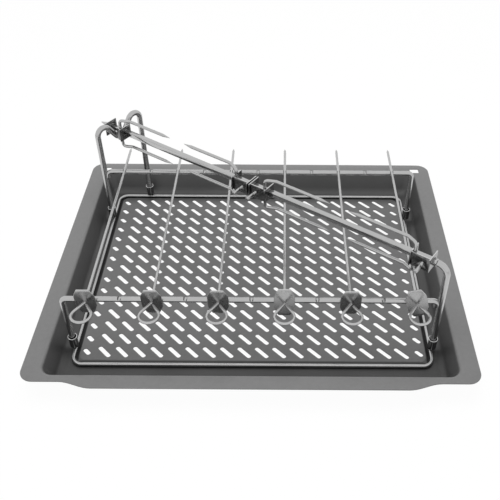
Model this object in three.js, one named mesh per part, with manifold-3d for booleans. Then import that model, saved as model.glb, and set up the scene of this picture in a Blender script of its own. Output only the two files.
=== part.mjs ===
import * as THREE from 'three';
import { mergeGeometries, mergeVertices } from 'three/addons/utils/BufferGeometryUtils.js';
import Module from 'manifold-3d';

const wasm = await Module();
wasm.setup();

// Tray, in millimetres
const trayWidth = 456;
const trayDepth = 376;
const trayHeight = 27.4;
const sheet = 1.2;
const sideFlange = 19.5;
const frontFlange = 8.6;
const rearFlange = 18;
const frontLip = 7.8;
const lipTaper = 33;
const lipInset = 40;
const rearCornerRadius = 25;
const frontCornerRadius = 14;
const openingCornerRadius = 12;
const wallRun = 10.5;
const sideGutter = 12.2;
const frontGutter = 25.1;
const rearGutter = 15.7;
const plateauRise = 2.8;
const plateauRun = 1.8;
const rimSlotLength = 10;
const rimSlotWidth = 7;
const rimSlotSideInset = 18.5;
const rimSlotRearInset = 14.6;

// Slots in the plateau
const slotPitch = 18.5;
const slotWidth = 4.5;
const slotReach = 14;
const endSlotReach = 5;
const slotSideMargin = 8;
const slotEndMargin = 12;

// Loop and sockets
const wireDiameter = 4.2;
const loopGap = 0.6;
const loopCornerRadius = 11;
const socketHeight = 14;
const socketWall = 0.95;
const socketOffset = 1.3;
const frontSocketInset = 24;
const rearSocketInset = 47;
const spitSocketInset = 40.5;

// Bars and skewers
const barDiameter = 6;
const barHeight = 75.5;
const barBendRadius = 4.5;
const barEndDrop = 8;
const skewerCount = 6;
const skewerEndMargin = 25.05;
const skewerDiameter = 3;
const skewerTipReach = 49;
const skewerPointLength = 5;
const notchDepth = 2.7;
const plateWidth = 21;
const plateHeight = 34;
const plateCornerWidth = 4.4;
const plateCornerHeight = 9.6;
const plateSheet = 1;
const plateCrown = 1.2;
const handleRadius = 9.6;
const handleReach = 17.5;
const handleOpening = 3.6;

// Spit, its supports and forks
const spitHeight = 121;
const spitSide = 6;
const spitBeyondSupport = 31.4;
const spitPointLength = 14;
const supportDiameter = 6.8;
const archRadius = 8.75;
const archRise = 3.7;
const crookRadius = 11;
const pinDiameter = 3.2;
const pinLength = 12;
const boreDepth = 14;
const stopPlateOffset = 12.4;
const hubPlateBack = 7.6;
const hubPlateLip = 2;
const hubPlateHeight = 16.5;
const hubSheet = 1.2;
const hubLength = 20.5;
const hubGap = 3;
const forkSetback = 10.8;
const firstForkTrim = 3.5;
const forkEndGap = 4.5;
const tineDiameter = 3.6;
const tineSpread = 35.5;
const tineReturn = 9;
const tineTipGap = 21.5;
const tinePointLength = 11;
const screwDiameter = 3;
const screwHeadDiameter = 4.2;
const screwNeck = 5.5;
const screwHeadLength = 10.5;
const screwOffset = 2.8;

// Clearances
const restGap = 0.3;
const legClearance = 0.4;
const turnClearance = 0.4;
const slideClearance = 0.35;

const wireRadius = wireDiameter / 2;
const barRadius = barDiameter / 2;
const skewerRadius = skewerDiameter / 2;
const supportRadius = supportDiameter / 2;
const tineRadius = tineDiameter / 2;

const enamel = { color: 0x777779, roughness: 0.55, metalness: 0.2 };
const steel = { color: 0xb9bab9, roughness: 0.3, metalness: 0.9 };

const tray = new THREE.Group();
tray.position.y = frontLip / 2;

function solidFrom(geometry) {
  const bare = geometry.clone();
  bare.deleteAttribute('normal');
  bare.deleteAttribute('uv');
  const welded = mergeVertices(bare, 1e-4);
  return new wasm.Manifold(new wasm.Mesh({
    numProp: 3,
    vertProperties: new Float32Array(welded.attributes.position.array),
    triVerts: new Uint32Array(welded.index.array),
  }));
}

function geometryFrom(solid) {
  const mesh = solid.getMesh();
  const geometry = new THREE.BufferGeometry();
  geometry.setAttribute('position', new THREE.BufferAttribute(new Float32Array(mesh.vertProperties), 3));
  geometry.setIndex(new THREE.BufferAttribute(new Uint32Array(mesh.triVerts), 1));
  geometry.computeVertexNormals();
  return geometry;
}

function addMesh(parent, name, geometry, finish) {
  const mesh = new THREE.Mesh(geometry, new THREE.MeshStandardMaterial(finish));
  mesh.name = name;
  parent.add(mesh);
  return mesh;
}

// A path through given points, one station per point.
class StationPath extends THREE.Curve {
  constructor(points) {
    super();
    this.points = points;
  }

  getPoint(share) {
    const place = share * (this.points.length - 1);
    const index = Math.min(Math.round(place), this.points.length - 1);
    return this.points[index].clone();
  }

  getPointAt(share) {
    return this.getPoint(share);
  }

  getTangent(share) {
    const last = this.points.length - 1;
    const index = Math.min(Math.round(share * last), last);
    const tangent = new THREE.Vector3();
    if (index > 0) {
      tangent.add(this.points[index].clone().sub(this.points[index - 1]).normalize());
    }
    if (index < last) {
      tangent.add(this.points[index + 1].clone().sub(this.points[index]).normalize());
    }
    return tangent.normalize();
  }

  getTangentAt(share) {
    return this.getTangent(share);
  }
}

// Corner points with their bend radii become straight runs and arcs.
function bentPoints(corners, stepAngle = 0.32) {
  const points = [corners[0].at];
  for (let i = 1; i < corners.length - 1; i += 1) {
    if (corners[i].radius === 0) {
      points.push(corners[i].at);
      continue;
    }
    const inward = corners[i].at.clone().sub(corners[i - 1].at).normalize();
    const outward = corners[i + 1].at.clone().sub(corners[i].at).normalize();
    const turn = inward.angleTo(outward);
    const cut = corners[i].radius * Math.tan(turn / 2);
    const start = corners[i].at.clone().addScaledVector(inward, -cut);
    const toCentre = outward.clone().addScaledVector(inward, -outward.dot(inward)).normalize();
    const centre = start.clone().addScaledVector(toCentre, corners[i].radius);
    const steps = Math.max(2, Math.ceil(turn / stepAngle));
    for (let k = 0; k <= steps; k += 1) {
      const angle = turn * k / steps;
      points.push(centre.clone()
        .addScaledVector(toCentre, -corners[i].radius * Math.cos(angle))
        .addScaledVector(inward, corners[i].radius * Math.sin(angle)));
    }
  }
  points.push(corners[corners.length - 1].at);
  return points;
}

function corner(x, y, z, radius = 0) {
  return { at: new THREE.Vector3(x, y, z), radius };
}

function roundSection(radius, sides) {
  const section = [];
  for (let i = 0; i < sides; i += 1) {
    const angle = (i + 0.5) * 2 * Math.PI / sides;
    section.push(new THREE.Vector2(radius * Math.cos(angle), radius * Math.sin(angle)));
  }
  return new THREE.Shape(section);
}

function rod(points, radius, sides) {
  return new THREE.ExtrudeGeometry(roundSection(radius, sides), {
    steps: points.length - 1,
    extrudePath: new StationPath(points),
  });
}

// Draws the end of a rod in to a blunt point, over the given length before its last station.
function drawPoint(geometry, tip, direction, length, bluntness = 0.12) {
  const position = geometry.attributes.position;
  const vertex = new THREE.Vector3();
  for (let i = 0; i < position.count; i += 1) {
    vertex.fromBufferAttribute(position, i).sub(tip);
    const along = vertex.dot(direction);
    if (along > -length + 0.01 && along < 0.01 && vertex.length() < length) {
      const share = bluntness + (1 - bluntness) * (-along / length);
      const radial = vertex.clone().addScaledVector(direction, -along).multiplyScalar(share);
      vertex.copy(tip).addScaledVector(direction, along).add(radial);
      position.setXYZ(i, vertex.x, vertex.y, vertex.z);
    }
  }
  return geometry;
}

function boxFrom(x0, x1, y0, y1, z0, z1) {
  const box = new THREE.BoxGeometry(x1 - x0, y1 - y0, z1 - z0);
  return box.translate((x0 + x1) / 2, (y0 + y1) / 2, (z0 + z1) / 2);
}

// Plan of the tray: wall foot, plateau and loop follow from the rim
const gutterTop = sheet;
const plateauTop = gutterTop + plateauRise;
const footSide = sideFlange + wallRun;
const footFront = frontFlange + wallRun;
const footRear = rearFlange + wallRun;
const plateauFootX = trayWidth / 2 - footSide - sideGutter;
const plateauFootFront = -trayDepth / 2 + footFront + frontGutter;
const plateauFootRear = trayDepth / 2 - footRear - rearGutter;
const plateauMiddleY = (plateauFootFront + plateauFootRear) / 2;
const plateauFootY = (plateauFootRear - plateauFootFront) / 2;
const loopX = plateauFootX + loopGap + wireRadius;
const loopY = plateauFootY + loopGap + wireRadius;
const plateauCornerRadius = loopCornerRadius - wireRadius - loopGap;
const cornerSteps = 6;
const lipSteps = 5;

function lipPlaces() {
  const places = [];
  const outer = trayWidth / 2 - lipInset;
  for (let i = 0; i <= lipSteps; i += 1) {
    const share = i / lipSteps;
    places.push({ x: -outer + lipTaper * share, lip: share * share * (3 - 2 * share) });
  }
  for (let i = lipSteps; i >= 0; i -= 1) {
    places.push({ x: -places[i].x, lip: places[i].lip });
  }
  return places;
}

// One rounded rectangle round the tray, anticlockwise from the rear right corner.
function trayRing(side, front, rear, rearRadius, frontRadius, z, lip) {
  const halfX = trayWidth / 2 - side;
  const frontY = -trayDepth / 2 + front;
  const rearY = trayDepth / 2 - rear;
  const ring = [];
  const corners = [
    { x: halfX - rearRadius, y: rearY - rearRadius, radius: rearRadius, start: 0 },
    { x: -halfX + rearRadius, y: rearY - rearRadius, radius: rearRadius, start: 1 },
    { x: -halfX + frontRadius, y: frontY + frontRadius, radius: frontRadius, start: 2 },
    { x: halfX - frontRadius, y: frontY + frontRadius, radius: frontRadius, start: 3 },
  ];
  for (const turn of corners) {
    if (turn.start === 3) {
      const stretch = (halfX - frontRadius) / (trayWidth / 2 - frontCornerRadius);
      for (const place of lipPlaces()) {
        ring.push(new THREE.Vector3(place.x * stretch, frontY - lip * place.lip, z));
      }
    }
    for (let i = 0; i <= cornerSteps; i += 1) {
      const angle = (turn.start + i / cornerSteps) * Math.PI / 2;
      ring.push(new THREE.Vector3(
        turn.x + turn.radius * Math.cos(angle),
        turn.y + turn.radius * Math.sin(angle),
        z,
      ));
    }
  }
  return ring;
}

function loftClosed(rings) {
  const count = rings[0].length;
  const positions = [];
  for (const ring of rings) {
    for (const point of ring) {
      positions.push(point.x, point.y, point.z);
    }
  }
  const index = [];
  for (let r = 0; r < rings.length - 1; r += 1) {
    for (let i = 0; i < count; i += 1) {
      const next = (i + 1) % count;
      const a = r * count + i;
      const b = r * count + next;
      const c = (r + 1) * count + next;
      const d = (r + 1) * count + i;
      index.push(a, b, c, a, c, d);
    }
  }
  const flat = rings[0].map((point) => new THREE.Vector2(point.x, point.y));
  const lastFlat = rings[rings.length - 1].map((point) => new THREE.Vector2(point.x, point.y));
  for (const face of THREE.ShapeUtils.triangulateShape(flat, [])) {
    index.push(face[2], face[1], face[0]);
  }
  const base = (rings.length - 1) * count;
  for (const face of THREE.ShapeUtils.triangulateShape(lastFlat, [])) {
    index.push(base + face[0], base + face[1], base + face[2]);
  }
  const geometry = new THREE.BufferGeometry();
  geometry.setAttribute('position', new THREE.Float32BufferAttribute(positions, 3));
  geometry.setIndex(index);
  return geometry;
}

function traySheet() {
  const wallHeight = trayHeight - gutterTop;
  const wallShift = sheet * wallHeight / (Math.hypot(wallHeight, wallRun) + wallRun);
  const riseShift = sheet * plateauRise / (Math.hypot(plateauRise, plateauRun) + plateauRun);
  const footRadius = openingCornerRadius - wallRun / 2;
  const plateauSide = footSide + sideGutter;
  const plateauFront = footFront + frontGutter;
  const plateauRear = footRear + rearGutter;
  const rimUnder = trayHeight - sheet;
  const plateauUnder = plateauTop - sheet;

  function even(inset, side, front, rear, radius, z) {
    const bend = radius - inset;
    return trayRing(side + inset, front + inset, rear + inset, bend, bend, z, 0);
  }

  return loftClosed([
    even(plateauRun + riseShift, plateauSide, plateauFront, plateauRear, plateauCornerRadius, plateauUnder),
    even(riseShift, plateauSide, plateauFront, plateauRear, plateauCornerRadius, 0),
    even(-wallShift, footSide, footFront, footRear, footRadius, 0),
    even(-wallShift, sideFlange, frontFlange, rearFlange, openingCornerRadius, rimUnder),
    trayRing(0, 0, 0, rearCornerRadius, frontCornerRadius, rimUnder, frontLip),
    trayRing(0, 0, 0, rearCornerRadius, frontCornerRadius, trayHeight, frontLip),
    even(0, sideFlange, frontFlange, rearFlange, openingCornerRadius, trayHeight),
    even(0, footSide, footFront, footRear, footRadius, gutterTop),
    even(0, plateauSide, plateauFront, plateauRear, plateauCornerRadius, gutterTop),
    even(plateauRun, plateauSide, plateauFront, plateauRear, plateauCornerRadius, plateauTop),
  ]);
}

// Slots: columns and rows fill the plateau inside its margins
function slotCutters() {
  const plateauX = plateauFootX - plateauRun;
  const plateauY = plateauFootY - plateauRun;
  const columns = Math.floor(2 * (plateauX - slotSideMargin) / slotPitch) + 1;
  const rows = Math.floor(2 * (plateauY - slotEndMargin) / slotPitch) + 1;
  const cutters = [];
  for (let column = 0; column < columns; column += 1) {
    const outermost = column === 0 || column === columns - 1;
    const half = (outermost ? endSlotReach : slotReach) / 2;
    const outline = new THREE.Shape([
      new THREE.Vector2(half, -slotWidth / 2),
      new THREE.Vector2(half + slotWidth / 2, 0),
      new THREE.Vector2(half, slotWidth / 2),
      new THREE.Vector2(-half, slotWidth / 2),
      new THREE.Vector2(-half - slotWidth / 2, 0),
      new THREE.Vector2(-half, -slotWidth / 2),
    ]);
    for (let row = 0; row < rows; row += 1) {
      const cutter = new THREE.ExtrudeGeometry(outline, { depth: 3 * sheet, bevelEnabled: false });
      cutter.rotateZ(-Math.PI / 4);
      cutter.translate(
        (column - (columns - 1) / 2) * slotPitch,
        plateauMiddleY + (row - (rows - 1) / 2) * slotPitch,
        plateauTop - 2 * sheet,
      );
      cutters.push(cutter);
    }
  }
  for (const side of [-1, 1]) {
    const x = side * (trayWidth / 2 - rimSlotSideInset);
    const y = trayDepth / 2 - rimSlotRearInset;
    cutters.push(boxFrom(
      x - rimSlotLength / 2,
      x + rimSlotLength / 2,
      y - rimSlotWidth / 2,
      y + rimSlotWidth / 2,
      trayHeight - 2 * sheet,
      trayHeight + sheet,
    ).toNonIndexed());
  }
  return mergeGeometries(cutters);
}

addMesh(tray, 'tray', geometryFrom(solidFrom(traySheet()).subtract(solidFrom(slotCutters()))), enamel);

// Loop lying in the gutter, its two ends butted under the rear spit socket
const wireZ = gutterTop + restGap + wireRadius;
const frontY = plateauMiddleY - loopY + frontSocketInset;
const rearY = plateauMiddleY + loopY - rearSocketInset;
const spitSocketX = -loopX + spitSocketInset;
const spitSocketY = plateauMiddleY + loopY + socketOffset;
const socketX = loopX + socketOffset;

const loopCorners = [
  corner(spitSocketX + restGap / 2, plateauMiddleY + loopY, wireZ),
  corner(loopX, plateauMiddleY + loopY, wireZ, loopCornerRadius),
  corner(loopX, plateauMiddleY - loopY, wireZ, loopCornerRadius),
  corner(-loopX, plateauMiddleY - loopY, wireZ, loopCornerRadius),
  corner(-loopX, plateauMiddleY + loopY, wireZ, loopCornerRadius),
  corner(spitSocketX - restGap / 2, plateauMiddleY + loopY, wireZ),
];
addMesh(tray, 'base_loop', rod(bentPoints(loopCorners), wireRadius, 8), steel);

// Sockets standing on the loop
const socketBottom = wireZ + wireRadius + restGap;
const socketBore = supportRadius + legClearance;

function addSocket(name, x, y) {
  const outer = socketBore + socketWall;
  const profile = [
    new THREE.Vector2(socketBore, 0),
    new THREE.Vector2(outer, 0),
    new THREE.Vector2(outer, socketHeight),
    new THREE.Vector2(socketBore, socketHeight),
    new THREE.Vector2(socketBore, 0),
  ];
  const geometry = new THREE.LatheGeometry(profile, 14);
  geometry.rotateX(Math.PI / 2);
  const socket = addMesh(tray, name, geometry, steel);
  socket.position.set(x, y, socketBottom);
}

addSocket('socket_front_left', -socketX, frontY);
addSocket('socket_front_right', socketX, frontY);
addSocket('socket_rear_left', -socketX, rearY);
addSocket('socket_rear_right', socketX, rearY);
addSocket('socket_spit_rear', spitSocketX, spitSocketY);

// Skewer bars: one end is a leg, the other drops beside the spit support
const skewerSpacing = 2 * (socketX - skewerEndMargin) / (skewerCount - 1);
const notchRadius = skewerRadius + turnClearance;
const notchBottom = barHeight + barRadius - notchDepth;
const skewerZ = notchBottom + restGap + skewerRadius;

function notchCutters() {
  const cutters = [];
  const outline = new THREE.Shape();
  outline.moveTo(notchRadius, barRadius + notchRadius);
  outline.lineTo(-notchRadius, barRadius + notchRadius);
  outline.lineTo(-notchRadius, 0);
  for (let i = 1; i <= 4; i += 1) {
    const angle = Math.PI + i * Math.PI / 4;
    outline.lineTo(notchRadius * Math.cos(angle), notchRadius * Math.sin(angle));
  }
  for (let i = 0; i < 2 * skewerCount - 1; i += 1) {
    const cutter = new THREE.ExtrudeGeometry(outline, { depth: 2 * barDiameter, bevelEnabled: false });
    cutter.rotateX(Math.PI / 2);
    cutter.translate((i - skewerCount + 1) * skewerSpacing / 2, barDiameter, notchBottom + notchRadius);
    cutters.push(cutter);
  }
  return mergeGeometries(cutters);
}

function addBar(name, y, legSide) {
  const endX = legSide * (socketX - supportRadius - barRadius - restGap);
  const path = bentPoints([
    corner(legSide * socketX, 0, socketBottom),
    corner(legSide * socketX, 0, barHeight, barBendRadius),
    corner(-endX, 0, barHeight, barBendRadius),
    corner(-endX, 0, barHeight - barEndDrop),
  ]);
  const solid = solidFrom(rod(path, barRadius, 10)).subtract(solidFrom(notchCutters()));
  const bar = addMesh(tray, name, geometryFrom(solid), steel);
  bar.position.y = y;
}

addBar('front_skewer_bar', frontY, -1);
addBar('rear_skewer_bar', rearY, 1);

// Spit frame: local X to the front, Y up, Z along the spit from the right post to the left
const postAt = new THREE.Vector3(socketX, frontY, spitHeight);
const leftLegAt = new THREE.Vector3(-socketX, rearY, 0);
const rightLegAt = new THREE.Vector3(spitSocketX, spitSocketY, 0);
const valleyAt = leftLegAt.clone().add(rightLegAt).multiplyScalar(0.5).setZ(spitHeight);
const up = new THREE.Vector3(0, 0, 1);
const along = valleyAt.clone().sub(postAt).normalize();
const toFront = up.clone().cross(along);
const valleyPlace = valleyAt.distanceTo(postAt);

// M-shaped support: two legs, two arches and a valley that the spit turns in
const legSpan = rightLegAt.distanceTo(leftLegAt);
const valleyRadius = spitSide * Math.SQRT1_2 + turnClearance + supportRadius;
const archZ = spitHeight + archRise;

function arcPoints(x, z, radius, from, to, steps) {
  const points = [];
  for (let i = 0; i <= steps; i += 1) {
    const angle = from + (to - from) * i / steps;
    points.push(new THREE.Vector3(x + radius * Math.cos(angle), z + radius * Math.sin(angle), 0));
  }
  return points;
}

function supportPoints() {
  const reach = legSpan / 2 - archRadius;
  const slope = Math.atan2(spitHeight - archZ, reach);
  const leave = slope + Math.acos((archRadius + valleyRadius) / Math.hypot(reach, archRise));
  const leftHalf = [
    new THREE.Vector3(0, socketBottom, 0),
    ...arcPoints(archRadius, archZ, archRadius, Math.PI, leave, 9),
    ...arcPoints(legSpan / 2, spitHeight, valleyRadius, Math.PI + leave, 1.5 * Math.PI, 4),
  ];
  const rightHalf = leftHalf.slice(0, -1).reverse().map((p) => new THREE.Vector3(legSpan - p.x, p.y, 0));
  return [...leftHalf, ...rightHalf];
}

const supportSpan = rightLegAt.clone().sub(leftLegAt).normalize();
const supportLeft = addMesh(tray, 'spit_support_left', rod(supportPoints(), supportRadius, 10), steel);
supportLeft.position.copy(leftLegAt);
supportLeft.quaternion.setFromRotationMatrix(
  new THREE.Matrix4().makeBasis(supportSpan, up, supportSpan.clone().cross(up)),
);

// Crooked support: upright, quarter bend and the pivot pin for the spit
const crookEnd = crookRadius + restGap;
const crookPath = bentPoints([
  corner(0, socketBottom - spitHeight, 0),
  corner(0, 0, 0, crookRadius),
  corner(0, 0, crookEnd),
]);
const pinPath = [
  new THREE.Vector3(0, 0, crookEnd - restGap),
  new THREE.Vector3(0, 0, crookEnd + pinLength),
];
const crook = solidFrom(rod(crookPath, supportRadius, 10)).add(solidFrom(rod(pinPath, pinDiameter / 2, 10)));

const spitAxis = new THREE.Group();
spitAxis.position.copy(postAt);
spitAxis.quaternion.setFromRotationMatrix(new THREE.Matrix4().makeBasis(toFront, up, along));
tray.add(spitAxis);
addMesh(spitAxis, 'spit_support_right', geometryFrom(crook), steel);

// Spit: square rod, bored at the right end and pointed at the left
const spitStart = crookEnd + slideClearance;
const spitEnd = valleyPlace + spitBeyondSupport;

function squareOutline(front, back, halfHeight, holeSide) {
  const outline = new THREE.Shape([
    new THREE.Vector2(-back, -halfHeight),
    new THREE.Vector2(front, -halfHeight),
    new THREE.Vector2(front, halfHeight),
    new THREE.Vector2(-back, halfHeight),
  ]);
  if (holeSide > 0) {
    const h = holeSide / 2;
    outline.holes.push(new THREE.Path([
      new THREE.Vector2(-h, -h),
      new THREE.Vector2(-h, h),
      new THREE.Vector2(h, h),
      new THREE.Vector2(h, -h),
    ]));
  }
  return outline;
}

function spitSolid() {
  const half = spitSide / 2;
  const path = new StationPath([
    new THREE.Vector3(0, 0, spitStart),
    new THREE.Vector3(0, 0, spitEnd - spitPointLength),
    new THREE.Vector3(0, 0, spitEnd),
  ]);
  const body = new THREE.ExtrudeGeometry(squareOutline(half, half, half, 0), { steps: 2, extrudePath: path });
  drawPoint(body, new THREE.Vector3(0, 0, spitEnd), new THREE.Vector3(0, 0, 1), spitPointLength);
  const boreRadius = pinDiameter / 2 + turnClearance;
  const bore = rod([
    new THREE.Vector3(0, 0, spitStart - restGap),
    new THREE.Vector3(0, 0, spitStart + boreDepth),
  ], boreRadius, 12);
  return solidFrom(body).subtract(solidFrom(bore));
}

addMesh(spitAxis, 'spit', geometryFrom(spitSolid()), steel);

// Stop plate on the spit, outside the M
const hubHole = spitSide + 2 * slideClearance;
const bridgeX = spitSide / 2 + slideClearance + tineRadius;
const webInner = bridgeX + tineRadius + slideClearance;
const hubFront = webInner + hubSheet;
const plateFront = hubFront + hubPlateLip;
const stopOutline = squareOutline(plateFront, hubPlateBack, hubPlateHeight / 2, spitSide + 2 * restGap);
const stopPlate = new THREE.ExtrudeGeometry(stopOutline, { depth: hubSheet, bevelEnabled: false });
addMesh(spitAxis, 'spit_stop_plate', stopPlate, steel).position.z = valleyPlace + stopPlateOffset;

// Forks: the clips and tines fill the spit between its two supports
const firstPlate = valleyPlace - forkSetback;
const lastPlate = spitStart + forkEndGap + hubLength;
const firstRoot = firstPlate + firstForkTrim;
const tineReach = (firstRoot - lastPlate - 2 * hubLength - hubGap - 2 * tineTipGap) / 4;
const secondPlate = firstRoot - 2 * tineReach - tineTipGap;
const thirdPlate = secondPlate - 2 * hubLength - hubGap;
const bridgeZ = hubSheet / 2 + slideClearance + tineRadius;
const shortClip = bridgeZ + tineRadius + slideClearance;

// Thumb screw through the web: its tip meets the spit's front face, its head stands out to the front
function screwGeometry(z) {
  const tip = new THREE.Vector3(spitSide / 2 + slideClearance, 0, z);
  const shoulder = new THREE.Vector3(hubFront + screwNeck, 0, z);
  const end = new THREE.Vector3(hubFront + screwNeck + screwHeadLength, 0, z);
  const shank = rod([tip, shoulder.clone().setX(shoulder.x + screwDiameter / 2)], screwDiameter / 2, 10);
  const head = rod([shoulder, end], screwHeadDiameter / 2, 10);
  return geometryFrom(solidFrom(shank).add(solidFrom(head)));
}

function addFork(number, place, direction, clipLength, reach) {
  const fork = new THREE.Group();
  fork.position.z = place;
  spitAxis.add(fork);

  const outline = squareOutline(plateFront, hubPlateBack, hubPlateHeight / 2, hubHole);
  const nearPlate = new THREE.ExtrudeGeometry(outline, { depth: hubSheet, bevelEnabled: false });
  nearPlate.translate(0, 0, -hubSheet / 2);
  const webEnds = [-direction * clipLength, 0].sort((a, b) => a - b);
  const web = boxFrom(
    webInner,
    hubFront,
    -hubPlateHeight / 2,
    hubPlateHeight / 2,
    webEnds[0],
    webEnds[1],
  );
  let clip = solidFrom(nearPlate).add(solidFrom(web));
  if (clipLength === hubLength) {
    const farPlate = nearPlate.clone().translate(0, 0, -direction * clipLength);
    const screwZ = -direction * (clipLength / 2 + screwOffset);
    const tapped = rod([
      new THREE.Vector3(webInner - hubSheet, 0, screwZ),
      new THREE.Vector3(hubFront + hubSheet, 0, screwZ),
    ], screwDiameter / 2 + turnClearance, 12);
    clip = clip.add(solidFrom(farPlate)).subtract(solidFrom(tapped));
    addMesh(fork, `fork_screw_${number}`, screwGeometry(screwZ), steel);
  }
  addMesh(fork, `fork_hub_${number}`, geometryFrom(clip), steel);

  const height = tineSpread / 2;
  const bendRadius = tineDiameter;
  const tip = direction * reach;
  const path = bentPoints([
    corner(0, height, tip),
    corner(0, height, tip - direction * tinePointLength),
    corner(0, height, direction * tineReturn, bendRadius),
    corner(bridgeX, height, -direction * bridgeZ, bendRadius),
    corner(bridgeX, -height, -direction * bridgeZ, bendRadius),
    corner(0, -height, direction * tineReturn, bendRadius),
    corner(0, -height, tip - direction * tinePointLength),
    corner(0, -height, tip),
  ], 0.45);
  const tines = rod(path, tineRadius, 8);
  const tineDirection = new THREE.Vector3(0, 0, direction);
  drawPoint(tines, new THREE.Vector3(0, height, tip), tineDirection, tinePointLength);
  drawPoint(tines, new THREE.Vector3(0, -height, tip), tineDirection, tinePointLength);
  addMesh(fork, `fork_tines_${number}`, tines, steel);
}

addFork(1, firstPlate, -1, shortClip, tineReach - firstForkTrim);
addFork(2, secondPlate, 1, hubLength, tineReach);
addFork(3, thirdPlate, -1, hubLength, tineReach);
addFork(4, lastPlate, 1, hubLength, tineReach);

// Skewers: the rod runs back over both bars, its front end is bent into a finger loop
const plateBackY = frontY - barRadius - slideClearance;
const apexY = plateBackY - plateSheet - plateCrown;
const tipY = rearY + skewerTipReach;

function handlePoints(startY) {
  const tangent = Math.asin(handleRadius / handleReach);
  const straight = handleReach * Math.cos(tangent);
  const from = Math.PI - tangent;
  const points = [];
  const arcSteps = 13;
  for (let i = 0; i <= arcSteps; i += 1) {
    const angle = from + (Math.PI + 2 * tangent) * i / arcSteps;
    points.push(new THREE.Vector3(
      handleRadius * Math.cos(angle),
      startY - handleReach + handleRadius * Math.sin(angle),
      0,
    ));
  }
  const share = 1 - handleOpening / straight;
  points.push(points[arcSteps].clone().multiplyScalar(1 - share).add(new THREE.Vector3(0, startY * share, 0)));
  return points;
}

function skewerGeometry() {
  const startY = apexY - skewerRadius;
  const points = [
    new THREE.Vector3(0, tipY, 0),
    new THREE.Vector3(0, tipY - skewerPointLength, 0),
    new THREE.Vector3(0, startY, 0),
    ...handlePoints(startY),
  ];
  const geometry = rod(points, skewerRadius, 8);
  const tip = new THREE.Vector3(0, tipY, 0);
  return drawPoint(geometry, tip, new THREE.Vector3(0, 1, 0), skewerPointLength);
}

// Pressed plate: an octagonal rim crowned towards the handle, with the rod through its middle
function plateGeometry() {
  const x = plateWidth / 2;
  const z = plateHeight / 2;
  const rim = [
    [x, -z + plateCornerHeight],
    [x, z - plateCornerHeight],
    [x - plateCornerWidth, z],
    [-x + plateCornerWidth, z],
    [-x, z - plateCornerHeight],
    [-x, -z + plateCornerHeight],
    [-x + plateCornerWidth, -z],
    [x - plateCornerWidth, -z],
  ];
  const holeRadius = (skewerRadius + restGap) / Math.cos(Math.PI / 8);
  const positions = [];
  const layers = [
    { back: 0, crown: 0, hole: false },
    { back: 0, crown: plateCrown, hole: true },
    { back: plateSheet, crown: plateCrown, hole: true },
    { back: plateSheet, crown: 0, hole: false },
  ];
  for (const layer of layers) {
    for (let i = 0; i < rim.length; i += 1) {
      const angle = (2 * i - 1) * Math.PI / 8;
      const px = layer.hole ? holeRadius * Math.cos(angle) : rim[i][0];
      const pz = layer.hole ? holeRadius * Math.sin(angle) : rim[i][1];
      positions.push(px, plateBackY - layer.back - layer.crown, pz);
    }
  }
  const count = rim.length;
  const index = [];
  for (let layer = 0; layer < layers.length; layer += 1) {
    for (let i = 0; i < count; i += 1) {
      const a = layer * count + i;
      const b = layer * count + (i + 1) % count;
      const c = ((layer + 1) % layers.length) * count + (i + 1) % count;
      const d = ((layer + 1) % layers.length) * count + i;
      index.push(a, c, b, a, d, c);
    }
  }
  const geometry = new THREE.BufferGeometry();
  geometry.setAttribute('position', new THREE.Float32BufferAttribute(positions, 3));
  geometry.setIndex(index);
  geometry.computeVertexNormals();
  return geometry;
}

for (let i = 0; i < skewerCount; i += 1) {
  const skewer = new THREE.Group();
  skewer.position.set((i - (skewerCount - 1) / 2) * skewerSpacing, 0, skewerZ);
  tray.add(skewer);
  addMesh(skewer, `skewer_rod_${i + 1}`, skewerGeometry(), steel);
  addMesh(skewer, `skewer_plate_${i + 1}`, plateGeometry(), steel);
}

export default tray;
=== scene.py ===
import math

import bmesh
import bpy
from mathutils import Matrix, Vector


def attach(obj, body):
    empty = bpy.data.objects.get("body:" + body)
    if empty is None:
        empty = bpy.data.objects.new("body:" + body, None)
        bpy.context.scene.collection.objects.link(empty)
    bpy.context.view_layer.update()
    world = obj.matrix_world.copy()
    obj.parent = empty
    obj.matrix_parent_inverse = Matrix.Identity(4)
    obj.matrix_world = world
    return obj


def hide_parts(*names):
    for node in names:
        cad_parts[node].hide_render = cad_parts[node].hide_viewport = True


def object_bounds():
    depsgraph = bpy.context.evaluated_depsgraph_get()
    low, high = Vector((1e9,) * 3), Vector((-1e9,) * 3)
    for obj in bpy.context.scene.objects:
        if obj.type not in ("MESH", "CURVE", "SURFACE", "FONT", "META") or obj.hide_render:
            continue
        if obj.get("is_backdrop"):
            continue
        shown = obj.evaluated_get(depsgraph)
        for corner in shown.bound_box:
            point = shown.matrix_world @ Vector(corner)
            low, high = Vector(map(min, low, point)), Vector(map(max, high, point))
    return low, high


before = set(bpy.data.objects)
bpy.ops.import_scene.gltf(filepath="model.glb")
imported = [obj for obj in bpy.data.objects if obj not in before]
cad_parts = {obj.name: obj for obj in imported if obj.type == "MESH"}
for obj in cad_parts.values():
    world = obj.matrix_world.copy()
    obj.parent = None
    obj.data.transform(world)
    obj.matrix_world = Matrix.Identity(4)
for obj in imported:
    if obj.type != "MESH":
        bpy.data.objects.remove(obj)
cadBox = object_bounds()
mm = 0.001
mergeDistance = 1e-7


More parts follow.
